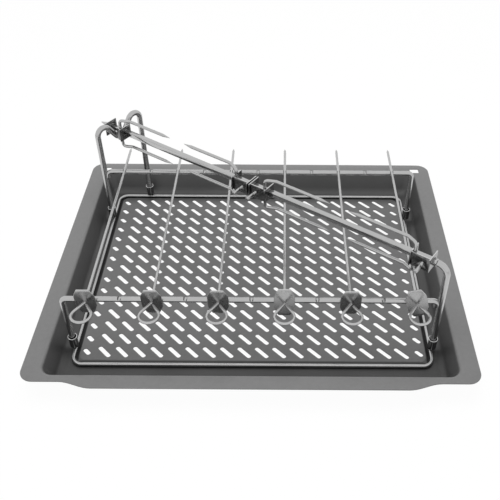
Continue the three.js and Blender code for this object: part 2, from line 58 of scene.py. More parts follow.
class Wire:  # one socket, so that sums on it add their Math nodes
    def __init__(self, board, socket):
        self.board = board
        self.socket = socket

    def math(self, operation, *values):
        return self.board.node("ShaderNodeMath", {"operation": operation}, dict(enumerate(values)))

    def __add__(self, other):
        return self.math("ADD", self, other)

    def __radd__(self, other):
        return self.math("ADD", other, self)

    def __sub__(self, other):
        return self.math("SUBTRACT", self, other)

    def __rsub__(self, other):
        return self.math("SUBTRACT", other, self)

    def __mul__(self, other):
        return self.math("MULTIPLY", self, other)

    def __rmul__(self, other):
        return self.math("MULTIPLY", other, self)

    def __truediv__(self, other):
        return self.math("DIVIDE", self, other)

    def __gt__(self, other):
        return self.math("GREATER_THAN", self, other)

    def __lt__(self, other):
        return self.math("LESS_THAN", self, other)

    def __abs__(self):
        return self.math("ABSOLUTE", self)

    def sign(self):
        return self.math("SIGN", self)

    def clamp(self):
        return self.math("MINIMUM", self.math("MAXIMUM", self, 0.0), 1.0)


class Board:  # a node tree being wired
    def __init__(self, tree):
        self.tree = tree

    def node(self, kind, settings=None, inputs=None, out=0):
        made = self.tree.nodes.new(kind)
        for key, value in (settings or {}).items():
            setattr(made, key, value)
        for key, value in (inputs or {}).items():
            for one in value if isinstance(value, list) else [value]:
                if isinstance(one, Wire):
                    self.tree.links.new(one.socket, made.inputs[key])
                else:
                    made.inputs[key].default_value = one
        return Wire(self, made.outputs[out]) if made.outputs else made

    def mixColour(self, share, first, second):  # the colour sockets of a Mix node go by number
        inputs = {0: share, 6: first, 7: second}
        return self.node("ShaderNodeMix", {"data_type": "RGBA"}, inputs, out=2)

    def join(self, *shapes):
        return self.node("GeometryNodeJoinGeometry", None, {"Geometry": list(shapes)})

    def store(self, shape, domain, kind, name, value):
        settings = {"data_type": kind, "domain": domain}
        return self.node("GeometryNodeStoreNamedAttribute", settings, {
            "Geometry": shape, "Name": name, "Value": value})

    def cutAway(self, shape, tools):  # the tools are instances
        tools = self.node("GeometryNodeRealizeInstances", None, {"Geometry": tools})
        settings = {"operation": "DIFFERENCE", "solver": "MANIFOLD"}
        return self.node("GeometryNodeMeshBoolean", settings, {"Mesh 1": shape, "Mesh 2": tools})

    def attribute(self, name, out="Fac"):
        return self.node("ShaderNodeAttribute", {"attribute_name": name}, out=out)

    def parts(self, vector):
        split = self.node("ShaderNodeSeparateXYZ", None, {0: vector})
        return [Wire(self, socket) for socket in split.socket.node.outputs]


def grey(tone):  # a screen tone of 0 to 255 as a linear colour
    share = tone / 255
    linear = share / 12.92 if share <= 0.04045 else ((share + 0.055) / 1.055) ** 2.4
    return (linear, linear, linear, 1.0)


def newMaterial(name, settings, wire):
    material = bpy.data.materials.new(name)
    material.use_nodes = True
    board = Board(material.node_tree)
    shader = material.node_tree.nodes["Principled BSDF"]
    for key, value in {**settings, **wire(board)}.items():
        if isinstance(value, Wire):
            board.tree.links.new(value.socket, shader.inputs[key])
        else:
            shader.inputs[key].default_value = value
    return material


def objectPlace(board):
    return board.node("ShaderNodeTexCoord", out="Object")


def noise(board, vector, scale, detail):
    return board.node("ShaderNodeTexNoise", None, {
        "Vector": vector, "Scale": scale, "Detail": detail})


def bump(board, height, strength, distance):
    return board.node("ShaderNodeBump", None, {
        "Strength": strength, "Distance": distance, "Height": height})


# enamel: dark grey glass on pressed sheet, with painted shade in the gutter, up the walls, beside
# the loop and over the plateau, darkest at its rear edge
enamelLook = {  # noises are scale and detail, places are metres
    "tone": 105, "spread": 11, "paintedShadeTone": 34,
    # painted shade shares: walls, gutter, plateau, the plateau's rear edge and the band beside the
    # loop
    "wallShadeShare": 0.62, "gutterShadeShare": 0.24, "plateauShadeShare": 0.3,
    "rearShadeShare": 0.45, "rearY": 0.13, "rearRun": 0.012,
    "nearShadeShare": 0.1, "nearRun": 0.012, "footSharpness": 900,
    "cloud": (14.0, 5.0), "flecks": (1500.0, 2.0), "mottle": (230.0, 2.0), "peel": (380.0, 3.0),
    "shadeClouding": (0.9, 0.2), "skinMix": (0.3, 0.3, 0.4),
    "roughness": 0.3, "roughSpread": 0.16, "peelBump": (0.06, 0.0003),
    "plateauX": 0.1824, "plateauY": 0.1404, "middleY": 0.0039,
    "rimZ": 0.0268, "bend": 0.0026, "depth": 0.025,
}


def wireEnamel(board):
    look = enamelLook
    place = objectPlace(board)
    x, y, z = board.parts(place)
    cloud = noise(board, place, *look["cloud"])
    fleck = noise(board, place, *look["flecks"])
    mottle = noise(board, place, *look["mottle"])
    peel = noise(board, place, *look["peel"])
    outX = abs(x) - look["plateauX"]
    outY = abs(y - look["middleY"]) - look["plateauY"]
    out = outX.math("MAXIMUM", outX, outY)
    around = (out * look["footSharpness"]).clamp()
    near = (1 - out / look["nearRun"]).clamp() * look["nearShadeShare"]
    below = look["rimZ"] - z
    wall = (below / look["bend"]).clamp() * look["wallShadeShare"]
    gutter = (below / look["depth"]).clamp() * look["gutterShadeShare"]
    rear = ((y - look["rearY"]) / look["rearRun"]).clamp() * look["rearShadeShare"]
    plateau = look["plateauShadeShare"] + rear
    base, swing = look["shadeClouding"]
    # painted shade: outside the plateau it darkens the gutter, walls and loop band; on the plateau
    # it darkens a little, more at the rear edge
    paintedShade = (wall + gutter + near) * around + plateau * (1 - around)
    paintedShade = paintedShade * (base + swing * cloud)
    ofCloud, ofFleck, ofMottle = look["skinMix"]
    share = (ofCloud * cloud + ofFleck * fleck + ofMottle * mottle).clamp()
    dark, light = grey(look["tone"] - look["spread"]), grey(look["tone"] + look["spread"])
    return {
        # the base colour is mixed towards the painted shade tone
        "Base Color": board.mixColour(
            paintedShade, board.mixColour(share, dark, light), grey(look["paintedShadeTone"])),
        "Roughness": look["roughness"] + look["roughSpread"] * cloud,
        "Normal": bump(board, peel, *look["peelBump"]),
    }


# drawn rods: fine lines along the rod, from the run and ring that its tree stores; notch sides get
# painted shade
drawnLook = {
    "grain": 2600.0, "draw": 60.0, "lines": (1.0, 4.0), "stain": (70.0, 4.0), "mix": (0.5, 0.5),
    "roughShift": -0.05, "roughSpread": 0.1, "bump": (0.06, 0.0001), "notchShadeTone": 88,
}


def drawnRod(bright, dull, roughness):
    def wireDrawn(board):
        look = drawnLook
        run = board.attribute("run")
        ring = board.parts(board.attribute("ring", "Vector"))
        drawn = board.node("ShaderNodeCombineXYZ", None, {
            0: run * look["draw"], 1: ring[0] * look["grain"], 2: ring[1] * look["grain"]})
        lines = noise(board, drawn, *look["lines"])
        stain = noise(board, objectPlace(board), *look["stain"])
        ofLines, ofStain = look["mix"]
        share = (ofLines * lines + ofStain * stain).clamp()
        skin = board.mixColour(share, grey(dull), grey(bright))
        return {
            # the notch's steep sides take the painted shade tone
            "Base Color": board.mixColour(board.attribute("filed"), skin, grey(look["notchShadeTone"])),
            "Roughness": roughness + look["roughShift"] + look["roughSpread"] * stain,
            "Normal": bump(board, lines, *look["bump"]),
        }
    return wireDrawn


# rolled sheet: fine grain with faint clouds of heat tint, and a painted highlight on marked edges
# and rims
rolledLook = {
    "grain": (1400.0, 3.0), "cloud": (90.0, 4.0), "mix": (0.3, 0.7),
    "roughShift": -0.05, "roughSpread": 0.1, "bump": (0.04, 0.0001), "edgeHighlightTone": 204,
}


def rolledSheet(bright, dull, roughness):
    def wireRolled(board):
        look = rolledLook
        place = objectPlace(board)
        grain = noise(board, place, *look["grain"])
        cloud = noise(board, place, *look["cloud"])
        ofGrain, ofCloud = look["mix"]
        share = (ofGrain * grain + ofCloud * cloud).clamp()
        skin = board.mixColour(share, grey(dull), grey(bright))
        return {
            # marked edges and rims take the painted highlight tone
            "Base Color": board.mixColour(board.attribute("cut"), skin, grey(look["edgeHighlightTone"])),
            "Roughness": roughness + look["roughShift"] + look["roughSpread"] * cloud,
            "Normal": bump(board, grain, *look["bump"]),
        }
    return wireRolled


# brushed bar: scratches that run along the spit
brushedLook = {
    "turn": -145.54, "along": 22.0, "across": 2400.0, "lines": (1.0, 4.0), "cloud": (40.0, 4.0),
    "mix": (0.6, 0.4), "roughShift": -0.05, "roughSpread": 0.1, "bump": (0.06, 0.0001),
}


def brushedBar(bright, dull, roughness):
    def wireBrushed(board):
        look = brushedLook
        place = objectPlace(board)
        turned = board.node("ShaderNodeMapping", None, {
            "Vector": place, "Rotation": (0.0, 0.0, math.radians(look["turn"]))})
        drawn = board.node("ShaderNodeMapping", None, {
            "Vector": turned, "Scale": (look["along"], look["across"], look["across"])})
        lines = noise(board, drawn, *look["lines"])
        cloud = noise(board, place, *look["cloud"])
        ofLines, ofCloud = look["mix"]
        share = (ofLines * lines + ofCloud * cloud).clamp()
        return {
            "Base Color": board.mixColour(share, grey(dull), grey(bright)),
            "Roughness": roughness + look["roughShift"] + look["roughSpread"] * lines,
            "Normal": bump(board, lines, *look["bump"]),
        }
    return wireBrushed


steelLook = {  # kind of finish, bright tone, dull tone, roughness
    "loopSteel": (drawnRod, 194, 172, 0.22),
    "barSteel": (drawnRod, 192, 170, 0.18),
    "tineSteel": (drawnRod, 192, 170, 0.2),
    "skewerSteel": (drawnRod, 194, 174, 0.24),
    "spitSteel": (brushedBar, 192, 170, 0.12),
    # the tube and hub steels are darker copies of the same steel: painted shade
    "shadedTubeSteel": (rolledSheet, 126, 101, 0.2),
    "shadedHubSteel": (rolledSheet, 126, 104, 0.2),
    "plateSteel": (rolledSheet, 188, 164, 0.27),
}
enamel = newMaterial("greyEnamel", {"Metallic": 0.0, "IOR": 1.55}, wireEnamel)
steel = {}
for name, (finish, *tones) in steelLook.items():
    steel[name] = newMaterial(name, {"Metallic": 1.0}, finish(*tones))
print("materials: one enamel and", len(steel), "steels")


def newObject(name, mesh):
    piece = bpy.data.objects.new(name, mesh)
    bpy.context.scene.collection.objects.link(piece)
    return piece


def newTree(name, sizes):
    tree = bpy.data.node_groups.new(name, "GeometryNodeTree")
    tree.interface.new_socket("Geometry", in_out="INPUT", socket_type="NodeSocketGeometry")
    tree.interface.new_socket("Geometry", in_out="OUTPUT", socket_type="NodeSocketGeometry")
    keys = {}
    for label, kind in sizes.items():
        socket = tree.interface.new_socket(label, in_out="INPUT", socket_type="NodeSocket" + kind)
        keys[label] = socket.identifier
    board = Board(tree)
    entry = tree.nodes.new("NodeGroupInput")
    given = {socket.name: Wire(board, socket) for socket in entry.outputs if socket.name}
    return board, given, keys


def closeTree(board, shape, material):
    shape = board.node("GeometryNodeRealizeInstances", None, {"Geometry": shape})
    shape = board.node("GeometryNodeSetMaterial", None, {"Geometry": shape, "Material": material})
    leave = board.tree.nodes.new("NodeGroupOutput")
    board.tree.links.new(shape.socket, leave.inputs[0])
    return board.tree


def bakedMesh(piece):  # what the modifiers make, as a plain mesh
    return bpy.data.meshes.new_from_object(
        piece.evaluated_get(bpy.context.evaluated_depsgraph_get()))


def runTree(name, base, tree, keys, values):
    piece = newObject(name, base)
    modifier = piece.modifiers.new("shape", "NODES")
    modifier.node_group = tree
    for label, value in values.items():
        modifier[keys[label]] = value
    mesh = bakedMesh(piece)
    piece.modifiers.clear()
    piece.data = mesh
    mesh.name = name
    return piece


def smooth(piece, angle):
    piece.data.shade_smooth()
    piece.data.set_sharp_from_angle(angle=math.radians(angle))
    return piece


def settle(piece, body, slot, *stoodFor):  # it rides and stands for its solids
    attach(piece, body)
    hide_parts(*stoodFor)


def circleAngles(count):
    return [2 * math.pi * i / count for i in range(count)]


def loftMesh(name, rings, closed=False):  # rings of equal count, joined by quads, ends filled
    count = len(rings[0])
    points = [point for ring in rings for point in ring]
    faces = []
    for r in range(len(rings) if closed else len(rings) - 1):
        for i in range(count):
            n = (i + 1) % count
            s = (r + 1) % len(rings)
            faces.append((r * count + i, r * count + n, s * count + n, s * count + i))
    if not closed:
        faces.append(tuple(reversed(range(count))))
        faces.append(tuple((len(rings) - 1) * count + i for i in range(count)))
    mesh = bpy.data.meshes.new(name)
    mesh.from_pydata([Vector(p) * mm for p in points], [], faces)
    mesh.update()
    return mesh


# tray: a pressed sheet, then its slots
traySize = {
    "width": 456.0, "depth": 376.0, "height": 27.4, "sheet": 1.2,
    "flange": (19.5, 8.6, 18.0), "lip": 7.8, "lipTaper": 33.0, "lipInset": 40.0,
    "rearCorner": 15.0, "frontCorner": 14.0, "openingCorner": 12.0,
    "wallRun": 10.5, "gutter": (12.2, 25.1, 15.7),
    "rise": 2.8, "riseRun": 3.2, "plateauCorner": 11.0,
    "shift": 3.9, "cornerSteps": 14, "lipSteps": 10, "edge": 0.4, "edgeRound": 0.3,
    "rimBend": 3.2, "footBend": 11.0, "gutterBend": 1.2, "plateauBend": 1.5, "leastBend": 0.15,
    "bendSteps": 7, "farRun": 50.0, "smoothing": 32,
}


def trayRing(insets, rearRadius, frontRadius, z, lip=0.0):  # insets at the side, front and rear
    t = traySize
    side, front, rear = insets
    halfX = t["width"] / 2 - side
    frontY = -t["depth"] / 2 + front
    rearY = t["depth"] / 2 - rear
    steps = t["cornerSteps"]
    ring = []
    turns = [
        (halfX - rearRadius, rearY - rearRadius, rearRadius),
        (-halfX + rearRadius, rearY - rearRadius, rearRadius),
        (-halfX + frontRadius, frontY + frontRadius, frontRadius),
        (halfX - frontRadius, frontY + frontRadius, frontRadius),
    ]
    for quarter, (x, y, radius) in enumerate(turns):
        if quarter == 3:  # the lip bulges between the two front corners
            stretch = (halfX - frontRadius) / (t["width"] / 2 - t["frontCorner"])
            outer = t["width"] / 2 - t["lipInset"]
            shares = [i / t["lipSteps"] for i in range(t["lipSteps"] + 1)]
            places = [(-outer + t["lipTaper"] * s, s * s * (3 - 2 * s)) for s in shares]
            places += [(-px, share) for px, share in reversed(places)]
            ring += [(px * stretch, frontY - lip * share + t["shift"], z) for px, share in places]
        for i in range(steps + 1):
            angle = (quarter + i / steps) * math.pi / 2
            ring.append((
                x + radius * math.cos(angle), y + radius * math.sin(angle) + t["shift"], z))
    return ring


def bentProfile(points, radii, steps):  # corners of a section become arcs
    made = []
    for i in range(1, len(points) - 1):
        before, here, after = (Vector(points[k]) for k in (i - 1, i, i + 1))
        inward, outward = (here - before).normalized(), (after - here).normalized()
        turn = inward.angle(outward)
        radius = max(radii[i - 1], traySize["leastBend"])
        start = here - inward * radius * math.tan(turn / 2)
        toward = (outward - inward * outward.dot(inward)).normalized()
        centre = start + toward * radius
        for k in range(steps + 1):
            angle = turn * k / steps
            made.append(
                centre - toward * radius * math.cos(angle) + inward * radius * math.sin(angle))
    return made


def traySheet():
    t = traySize
    wall = t["height"] - t["sheet"]
    wallShift = t["sheet"] * wall / (math.hypot(wall, t["wallRun"]) + t["wallRun"])
    riseShift = t["sheet"] * t["rise"] / (math.hypot(t["rise"], t["riseRun"]) + t["riseRun"])
    plateauInsets = [f + t["wallRun"] + g for f, g in zip(t["flange"], t["gutter"])]
    top, gutterTop, plateauTop = t["height"], t["sheet"], t["sheet"] + t["rise"]

    def openingRing(point):
        offset, z = point
        shrink = min(offset, t["wallRun"]) / 2 if offset > 0 else offset
        radius = t["openingCorner"] - shrink
        return trayRing([f + offset for f in t["flange"]], radius, radius, z)

    def plateauRing(point):
        offset, z = point
        radius = t["plateauCorner"] - offset
        return trayRing([p + offset for p in plateauInsets], radius, radius, z)

    def rimRing(inset, z):
        radii = t["rearCorner"] - inset, t["frontCorner"] - inset
        return trayRing([inset] * 3, *radii, z, t["lip"])

    far = t["farRun"]  # of a section's first and last run only the direction counts
    wallTop = [(-far, top), (0, top), (t["wallRun"], gutterTop), (far, gutterTop)]
    wallUnder = [(p[0] - wallShift, p[1] - t["sheet"]) for p in wallTop]
    riseTop = [(-far, gutterTop), (0, gutterTop), (t["riseRun"], plateauTop), (far, plateauTop)]
    riseUnder = [(p[0] + riseShift, p[1] - t["sheet"]) for p in riseTop]
    steps = t["bendSteps"]
    rings = [plateauRing(p) for p in reversed(bentProfile(
        riseUnder, [t["gutterBend"] + t["sheet"], t["plateauBend"] - t["sheet"]], steps))]
    rings += [openingRing(p) for p in reversed(bentProfile(
        wallUnder, [t["rimBend"] - t["sheet"], t["footBend"] + t["sheet"]], steps))]
    under, edge = top - t["sheet"], t["edge"]
    soft = edge * t["edgeRound"]
    rings += [rimRing(edge, under), rimRing(soft, under + soft), rimRing(0, under + edge)]
    rings += [rimRing(0, top - edge), rimRing(soft, top - soft), rimRing(edge, top)]
    rings += [openingRing(p) for p in bentProfile(
        wallTop, [t["rimBend"], t["footBend"]], steps)]
    rings += [plateauRing(p) for p in bentProfile(
        riseTop, [t["gutterBend"], t["plateauBend"]], steps)]
    return loftMesh("trayPressing", rings)


slotSize = {
    "columns": 20, "rows": 15, "pitch": 18.5, "width": 4.8, "reach": 14.2, "endReach": 5.2,
    "turn": -45.0, "flare": 0.25, "level": 3.4, "sheet": 1.2, "sides": 16,
    "rimSlot": (11.5, 8.8), "rimSlotCorner": 1.0, "rimSlotAt": (209.1, 178.4, 26.8),
    "rimSlotSides": 24,
}


def slotTree():
    board, given, keys = newTree("trayPerforation", {
        "Columns": "Int", "Rows": "Int", "Pitch": "Float", "Width": "Float", "Reach": "Float",
        "End Reach": "Float", "Flare": "Float", "Sheet": "Float", "Middle": "Vector",
        "Rim Slot Length": "Float", "Rim Slot Width": "Float", "Rim Slot Corner": "Float",
        "Rim Slot At": "Vector",
    })

    def cutter(reach, rise, corner, sides):  # round corners, and a mouth that flares at both faces
        bar = board.node("GeometryNodeMeshCylinder", None, {
            "Vertices": sides, "Side Segments": 3, "Radius": corner, "Depth": 1.0})
        x, y, z = board.parts(board.node("GeometryNodeInputPosition"))
        outer = abs(z) > 0.3  # the end rings, at half the height, not those at a sixth
        grow = 1 + outer * (2 * given["Flare"] / corner)
        half = given["Sheet"] * 0.5
        moved = board.node("ShaderNodeCombineXYZ", None, {
            0: x * grow + x.sign() * (reach * 0.5),
            1: y * grow + y.sign() * (rise * 0.5),
            2: z.sign() * (half - given["Flare"] + outer * (2 * given["Flare"])),
        })
        return board.node("GeometryNodeSetPosition", None, {"Geometry": bar, "Position": moved})

    spanX = given["Pitch"] * (given["Columns"] - 1)
    spanY = given["Pitch"] * (given["Rows"] - 1)
    grid = board.node("GeometryNodeMeshGrid", None, {
        "Size X": spanX, "Size Y": spanY,
        "Vertices X": given["Columns"], "Vertices Y": given["Rows"]})
    x = board.parts(board.node("GeometryNodeInputPosition"))[0]
    inner = abs(x) < spanX * 0.5 - given["Pitch"] * 0.5
    end = given["Width"] * 0.5

    def slots(which, reach):
        return board.node("GeometryNodeInstanceOnPoints", None, {
            "Points": grid, "Selection": which,
            "Instance": cutter(reach, 0.0, end, slotSize["sides"]),
            "Rotation": (0.0, 0.0, math.radians(slotSize["turn"]))})

    field = board.join(slots(inner, given["Reach"]), slots(1 - inner, given["End Reach"]))
    field = board.node("GeometryNodeTransform", None, {
        "Geometry": field, "Translation": given["Middle"]})
    ax, ay, az = board.parts(given["Rim Slot At"])
    pair = board.node("GeometryNodeMeshLine", None, {
        "Count": 2,
        "Start Location": board.node("ShaderNodeCombineXYZ", None, {0: -1 * ax, 1: ay, 2: az}),
        "Offset": board.node("ShaderNodeCombineXYZ", None, {0: 2 * ax})})
    corner = given["Rim Slot Corner"]
    rimSlot = cutter(given["Rim Slot Length"] - 2 * corner, given["Rim Slot Width"] - 2 * corner,
                     corner, slotSize["rimSlotSides"])
    rimSlots = board.node("GeometryNodeInstanceOnPoints", None, {
        "Points": pair, "Instance": rimSlot})
    sheet = board.cutAway(given["Geometry"], board.join(field, rimSlots))
    return closeTree(board, sheet, enamel), keys


trayPiece = runTree("trayPressing", traySheet(), *slotTree(), {
    "Columns": slotSize["columns"], "Rows": slotSize["rows"], "Pitch": slotSize["pitch"] * mm,
    "Width": slotSize["width"] * mm, "Reach": slotSize["reach"] * mm,
    "End Reach": slotSize["endReach"] * mm,
    "Flare": slotSize["flare"] * mm, "Sheet": slotSize["sheet"] * mm,
    "Middle": (0.0, traySize["shift"] * mm, slotSize["level"] * mm),
    "Rim Slot Length": slotSize["rimSlot"][0] * mm, "Rim Slot Width": slotSize["rimSlot"][1] * mm,
    "Rim Slot Corner": slotSize["rimSlotCorner"] * mm,
    "Rim Slot At": tuple(v * mm for v in slotSize["rimSlotAt"]),
})
settle(smooth(trayPiece, traySize["smoothing"]), "tray", "tray_enamel", "tray")
print("tray:", len(trayPiece.data.polygons), "faces")


# rods: a bent path swept with a round section, notched where asked
rodShape = {
    "chamfer": 0.5, "endGirth": 0.8, "tipGirth": 0.12, "smoothing": 38,
    "notchSides": 14, "notchDepth": 8, "notchLift": 0.006, "upperHalf": 0.0001, "notchShadeFacing": 0.6,
}


def rodTree(name, notched):
    sizes = {"Finish": "Material", "Radius": "Float", "Sides": "Int", "Bend Steps": "Int"}
    if notched:
        sizes.update({"Notches": "Int", "Notch Start": "Vector", "Notch Step": "Vector",
                      "Notch Radius": "Float"})
    board, given, keys = newTree(name, sizes)

    def stored(field):
        settings = {"data_type": "FLOAT"}
        return board.node("GeometryNodeInputNamedAttribute", settings, {"Name": field})

    path = board.node("GeometryNodeMeshToCurve", None, {"Mesh": given["Geometry"]})
    path = board.node("GeometryNodeFilletCurve", {"mode": "POLY"}, {
        "Curve": path, "Count": given["Bend Steps"], "Radius": stored("bend"),
        "Limit Radius": True})
    length = board.node("GeometryNodeSplineParameter", out="Length")
    path = board.store(path, "POINT", "FLOAT", "run", length)
    section = board.node("GeometryNodeCurvePrimitiveCircle", None, {
        "Resolution": given["Sides"], "Radius": given["Radius"]})
    around = board.node("GeometryNodeInputPosition")
    section = board.store(section, "POINT", "FLOAT_VECTOR", "ring", around)
    rod = board.node("GeometryNodeCurveToMesh", None, {
        "Curve": path, "Profile Curve": section, "Scale": stored("girth"), "Fill Caps": True})
    if notched:  # a round bit, open to the top, its steep sides marked for painted shade
        radius = given["Notch Radius"]
        bit = board.node("GeometryNodeMeshCylinder", None, {
            "Vertices": rodShape["notchSides"], "Radius": radius,
            "Depth": rodShape["notchDepth"] * radius})
        bit = board.node("GeometryNodeTransform", None, {
            "Geometry": bit, "Rotation": (math.pi / 2, 0.0, 0.0)})
        z = board.parts(board.node("GeometryNodeInputPosition"))[2]
        lift = board.node("ShaderNodeCombineXYZ", None, {
            2: (z > rodShape["upperHalf"]) * rodShape["notchLift"]})
        bit = board.node("GeometryNodeSetPosition", None, {"Geometry": bit, "Offset": lift})
        facing = board.parts(board.node("GeometryNodeInputNormal"))[0]
        bit = board.store(bit, "FACE", "FLOAT", "filed", abs(facing) > rodShape["notchShadeFacing"])
        line = board.node("GeometryNodeMeshLine", None, {
            "Count": given["Notches"], "Start Location": given["Notch Start"],
            "Offset": given["Notch Step"]})
        bits = board.node("GeometryNodeInstanceOnPoints", None, {"Points": line, "Instance": bit})
        rod = board.cutAway(rod, bits)
    return closeTree(board, rod, given["Finish"]), keys


plainRod = rodTree("bentRod", False)
notchedRod = rodTree("notchedBar", True)


def pathMesh(name, spots):  # spots are place, bend radius and share of the full radius
    mesh = bpy.data.meshes.new(name)
    edges = [(i, i + 1) for i in range(len(spots) - 1)]
    mesh.from_pydata([s[0] * mm for s in spots], edges, [])
    for field, column, scale in (("bend", 1, mm), ("girth", 2, 1.0)):
        layer = mesh.attributes.new(field, "FLOAT", "POINT")
        layer.data.foreach_set("value", [s[column] * scale for s in spots])
    return mesh


def rodPath(name, corners, startPoint=0.0, endPoint=0.0):  # an end is pointed or chamfered
    spots = [(Vector(at), bend, 1.0) for at, bend in corners]
    for end, point in ((0, startPoint), (-1, endPoint)):
        tip = spots[end][0]
        inner = spots[1 if end == 0 else -2][0]
        back = (inner - tip).normalized()
        cut = point if point > 0 else rodShape["chamfer"]
        spots[end] = (tip, 0.0, rodShape["tipGirth" if point > 0 else "endGirth"])
        shoulder = (tip + back * cut, 0.0, 1.0)
        spots.insert(1 if end == 0 else len(spots) - 1, shoulder)
    return pathMesh(name, spots)


def rodPiece(name, path, radius, finish, sides=16, bendSteps=8, notches=None):
    values = {"Finish": steel[finish], "Radius": radius * mm, "Sides": sides,
              "Bend Steps": bendSteps, **(notches or {})}
    piece = runTree(name, path, *(notchedRod if notches else plainRod), values)
    return smooth(piece, rodShape["smoothing"])


rackSize = {
    "wire": 2.1, "x": 188.5, "front": -142.6, "rear": 150.4, "z": 3.6, "bend": 11.0, "seam": 0.05,
}
socketSize = {
    "places": [(-189.8, -118.6), (189.8, -118.6), (-189.8, 103.4), (189.8, 103.4), (-148.0, 151.7)],
    "outer": 4.6, "bore": 3.8, "bottom": 6.0, "top": 20.0, "sides": 28, "smoothing": 35,
    # wall, how far outside it, how far above the bottom
    "foot": [("bore", 0.0, 0.2), ("bore", 0.2, 0.0), ("outer", -0.3, 0.0), ("outer", 0.0, 0.3)],
    # wall, how far outside it, how far below the top
    "mouth": [("outer", 0.0, 2.4), ("outer", 0.1575, 1.3), ("outer", 0.45, 0.6),
              ("outer", 0.45, 0.25), ("outer", 0.2, 0.0), ("bore", 0.55, 0.0),
              ("bore", 0.18, 0.6), ("bore", 0.0, 1.6)],
    # the rings at the socket's mouth get a painted highlight
    "highlightRings": range(6, 10),
}


def loopPath():
    r = rackSize
    seamX = socketSize["places"][4][0]  # the loop's ends meet under the fifth socket
    bend = r["bend"]
    return rodPath("baseLoop", [
        ((seamX + r["seam"], r["rear"], r["z"]), 0.0),
        ((r["x"], r["rear"], r["z"]), bend),
        ((r["x"], r["front"], r["z"]), bend),
        ((-r["x"], r["front"], r["z"]), bend),
        ((-r["x"], r["rear"], r["z"]), bend),
        ((seamX - r["seam"], r["rear"], r["z"]), 0.0),
    ])


settle(rodPiece("baseLoop", loopPath(), rackSize["wire"], "loopSteel"),
       "rack", "wire_steel", "base_loop")


def paintHighlightRings(mesh, rings, count):  # these rings of a loft get a painted highlight
    bright = mesh.attributes.new("cut", "FLOAT", "POINT")
    for ring in rings:
        for i in range(count):
            bright.data[ring * count + i].value = 1.0


def socketMesh(x, y):
    s = socketSize
    section = [(s[wall] + out, s["bottom"] + rise) for wall, out, rise in s["foot"]]
    section += [(s[wall] + out, s["top"] - drop) for wall, out, drop in s["mouth"]]
    angles = circleAngles(s["sides"])
    rings = [[(x + radius * math.cos(a), y + radius * math.sin(a), z) for a in angles]
             for radius, z in section]
    mesh = loftMesh("socket", rings, closed=True)
    paintHighlightRings(mesh, s["highlightRings"], s["sides"])
    return mesh


def joined(name, meshes, finish, smoothing):
    work = bmesh.new()
    for mesh in meshes:
        work.from_mesh(mesh)
    mesh = bpy.data.meshes.new(name)
    work.to_mesh(mesh)
    work.free()
    mesh.materials.append(steel[finish])
    return smooth(newObject(name, mesh), smoothing)


settle(joined("legSockets", [socketMesh(x, y) for x, y in socketSize["places"]], "shadedTubeSteel",
              socketSize["smoothing"]),
       "rack", "wire_steel", "socket_front_left", "socket_front_right",
       "socket_rear_left", "socket_rear_right", "socket_spit_rear")
print("rack: loop and sockets")


barSize = {
    "radius": 3.0, "sides": 22, "height": 75.5, "legX": 189.8, "endX": 185.8,
    "bend": 4.5, "drop": 8.0, "foot": 6.0, "front": -118.6, "rear": 103.4,
    "notches": 11, "notchStep": 32.95, "notchRadius": 1.9, "notchBottom": 75.8,
}


def addBar(name, node, body, y, side):  # a leg on one side, the other end meets a post
    b = barSize
    path = rodPath(name, [
        ((side * b["legX"], y, b["foot"]), 0.0),
        ((side * b["legX"], y, b["height"]), b["bend"]),
        ((-side * b["endX"], y, b["height"]), b["bend"]),
        ((-side * b["endX"], y, b["height"] - b["drop"]), 0.0),
    ])
    first = -b["notchStep"] * (b["notches"] - 1) / 2
    piece = rodPiece(name, path, b["radius"], "barSteel", b["sides"], notches={
        "Notches": b["notches"],
        "Notch Start": (first * mm, y * mm, (b["notchBottom"] + b["notchRadius"]) * mm),
        "Notch Step": (b["notchStep"] * mm, 0.0, 0.0),
        "Notch Radius": b["notchRadius"] * mm,
    })
    settle(piece, body, "bar_steel", node)


addBar("frontBar", "front_skewer_bar", "front_stand", barSize["front"], -1)
addBar("rearBar", "rear_skewer_bar", "rear_stand", barSize["rear"], 1)
print("bars: notched")


# the spit's own frame: to the front, up, along from the right post to the left support
spitFrame = {
    "post": Vector((189.8, -118.6, 121.0)),
    "toFront": Vector((-0.565816, -0.824531, 0.0)),
    "along": Vector((-0.824531, 0.565816, 0.0)),
}


def onSpit(front, up, along):
    s = spitFrame
    return s["post"] + s["toFront"] * front + Vector((0, 0, up)) + s["along"] * along


supportSize = {
    "radius": 3.4, "sides": 22, "foot": 6.0, "spitZ": 121.0,
    "left": Vector((-189.8, 103.4, 0.0)), "right": Vector((-148.0, 151.7, 0.0)),
    "archRadius": 8.75, "archZ": 124.7, "archSteps": 20, "valleyRadius": 8.0426, "valleySteps": 9,
    "crookBend": 11.0, "crookSteps": 10, "crookEnd": 11.3, "crookEdge": 0.4, "crookEdgeGirth": 0.86,
    "pinStep": 0.05, "pinLength": 12.0, "pinGirth": 0.4706, "pinTip": 0.8,
}


